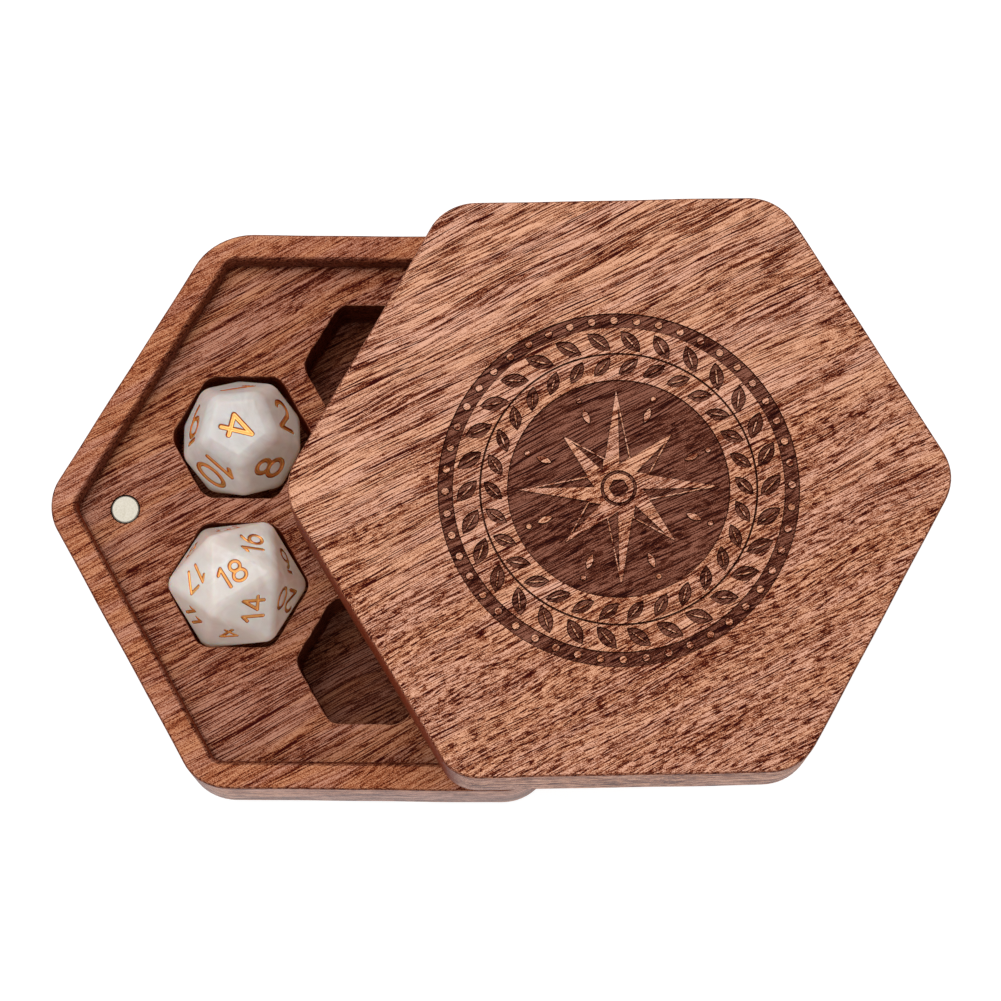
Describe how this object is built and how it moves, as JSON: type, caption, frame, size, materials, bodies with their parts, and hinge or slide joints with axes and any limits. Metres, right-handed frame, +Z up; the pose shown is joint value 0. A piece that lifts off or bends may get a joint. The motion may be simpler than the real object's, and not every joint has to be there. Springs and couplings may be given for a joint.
{
  "type": "dice chest",
  "caption": "Hexagonal wooden dice chest: honeycomb tray, lift-off tongued lid with disc magnets, and polyhedral dice resting in the pockets.",
  "frame": {"origin": "middle of the tray's flat base", "axes": "+Z up, +X towards the side to which the lid is moved, flat sides of the tray face -Y and +Y"},
  "size_m": [0.1558, 0.1013, 0.0385],
  "materials": {
    "tray_wood": "oiled reddish brown open-grained hardwood, milled and sanded",
    "lid_wood": "oiled lighter brown open-grained hardwood with a dark engraved medallion",
    "magnet_plating": "bright nickel plating with bevelled edges",
    "dice_resin": "polished pearl white resin with engraved numerals filled in gold"
  },
  "bodies": {
    "tray": {"tray": "tray_wood", "tray_magnet_left": "magnet_plating", "tray_magnet_right": "magnet_plating"},
    "lid": {"lid": "lid_wood", "lid_magnet_left": "magnet_plating", "lid_magnet_right": "magnet_plating"},
    "twelve_sided_die": {"twelve_sided_die": "dice_resin"},
    "twenty_sided_die": {"twenty_sided_die": "dice_resin"}
  },
  "joints": [
    {"name": "lid_lift", "type": "slide", "parent": "tray", "child": "lid", "axis": [0, 0, 1], "range_m": [0, 0.06]},
    {"name": "twelve_sided_die_lift", "type": "slide", "parent": "tray", "child": "twelve_sided_die", "axis": [0, 0, 1], "range_m": [0, 0.04]},
    {"name": "twenty_sided_die_lift", "type": "slide", "parent": "tray", "child": "twenty_sided_die", "axis": [0, 0, 1], "range_m": [0, 0.04]}
  ]
}
